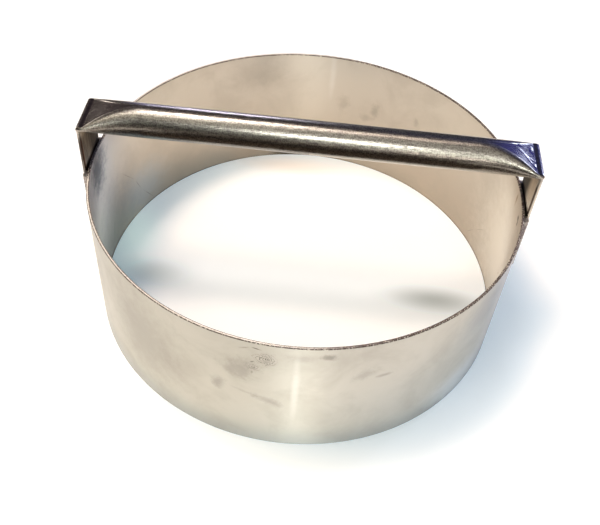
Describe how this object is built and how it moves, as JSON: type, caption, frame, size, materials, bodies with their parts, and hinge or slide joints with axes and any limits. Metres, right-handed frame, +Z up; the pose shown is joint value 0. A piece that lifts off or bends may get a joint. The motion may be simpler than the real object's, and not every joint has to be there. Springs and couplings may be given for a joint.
{
  "type": "pizza base cutter",
  "caption": "Round dough cutter: a tall thin steel ring with a straight tube grip across the top, flattened at its ends, folded down and welded outside the rim.",
  "frame": {"origin": "centre of the ring at its lower cutting edge", "axes": "+X along the grip, +Y across it in the plane of the ring, +Z up from the cutting edge to the grip"},
  "size_m": [0.2108, 0.2056, 0.1023],
  "materials": {
    "satin_sheet": "mill-satin stainless sheet with faint smudges and a sheared bright rim",
    "polished_tube": "polished stainless tube with a fine lengthwise grain",
    "weld": "rippled weld metal with heat tint, lightly dressed"
  },
  "bodies": {
    "root": {"cutter_ring": "satin_sheet", "ring_seam_weld": "weld", "handle_tube": "polished_tube", "left_tab_front_weld": "weld", "left_tab_rear_weld": "weld", "right_tab_front_weld": "weld", "right_tab_rear_weld": "weld"}
  },
  "joints": []
}
